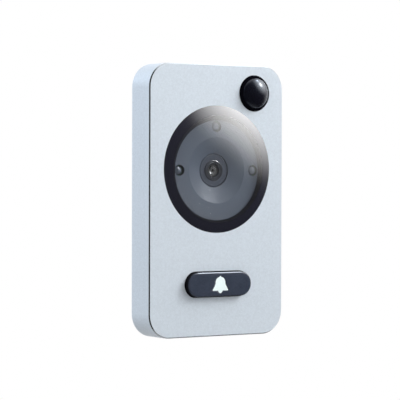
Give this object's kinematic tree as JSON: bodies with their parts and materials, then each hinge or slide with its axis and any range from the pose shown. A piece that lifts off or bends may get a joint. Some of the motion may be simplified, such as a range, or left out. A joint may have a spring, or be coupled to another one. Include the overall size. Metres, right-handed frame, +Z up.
{
  "type": "video doorbell",
  "caption": "Flat silver wall-mounted video doorbell with a round camera window, a motion dome and a pill-shaped bell button that presses in.",
  "frame": {"origin": "centre of the wall face, at the back of the wall bracket", "axes": "+X to the right as seen from the front, +Y into the wall, +Z up; the front looks along -Y"},
  "size_m": [0.068, 0.018, 0.115],
  "materials": {
    "shell_silver": "satin",
    "chassis_black": "moulded",
    "cover_black": "fine texture",
    "tape_black": "matt foam",
    "window_clear": "polished",
    "mask_black": "gloss print",
    "surround_grey": "satin",
    "lamp_clear": "clear moulding",
    "lens_black": "anodised satin",
    "lens_glass": "coated",
    "filter_glass": "coated",
    "chip_black": "moulded",
    "board_green": "solder mask",
    "steel": "plain",
    "pin_gold": "plated",
    "dome_black": "polished",
    "button_black": "satin gloss",
    "bell_white": "smooth",
    "silicone": "matt",
    "socket_ivory": "moulded"
  },
  "bodies": {
    "unit": {"front_shell": "shell_silver", "shell_tape": "tape_black", "chassis": "chassis_black", "rear_cover": "cover_black", "rear_seal": "silicone", "cover_screws": "steel", "cable_grommet": "silicone", "wall_bracket": "steel", "security_screw": "steel", "camera_window": "window_clear", "mask_ring": "mask_black", "window_tape": "tape_black", "lens_surround": "surround_grey", "surround_screws": "steel", "infrared_lamps": "lamp_clear", "lamp_board": "board_green", "lamp_board_screws": "steel", "link_pins": "pin_gold", "lens_barrel": "lens_black", "lens_ring": "lens_black", "front_lens": "lens_glass", "rear_lens": "lens_glass", "lens_holder": "chip_black", "infrared_filter": "filter_glass", "image_sensor": "chip_black", "dome_ring": "dome_black", "motion_dome": "dome_black", "motion_sensor": "steel", "sensor_window": "chip_black", "sensor_legs": "pin_gold", "main_board": "board_green", "board_screws": "steel", "processor_shield": "steel", "board_chips": "chip_black", "power_coil": "chip_black", "cable_socket": "socket_ivory", "button_skirt": "silicone", "switch_body": "chip_black"},
    "button": {"button_cap": "button_black", "bell_symbol": "bell_white"},
    "plunger": {"switch_plunger": "chip_black"}
  },
  "joints": [
    {"name": "button_press", "type": "slide", "parent": "unit", "child": "button", "axis": [0, 1, 0], "range_m": [0, 0.0008], "stiffness_N_per_m": 1500, "springref_m": -0.0002, "deforming": ["button_skirt"]},
    {"name": "plunger_slide", "type": "slide", "parent": "unit", "child": "plunger", "axis": [0, 1, 0], "range_m": [0, 0.0008]}
  ],
  "couplings": [
    {"joint": "plunger_slide", "follows": "button_press", "ratio": 1}
  ]
}
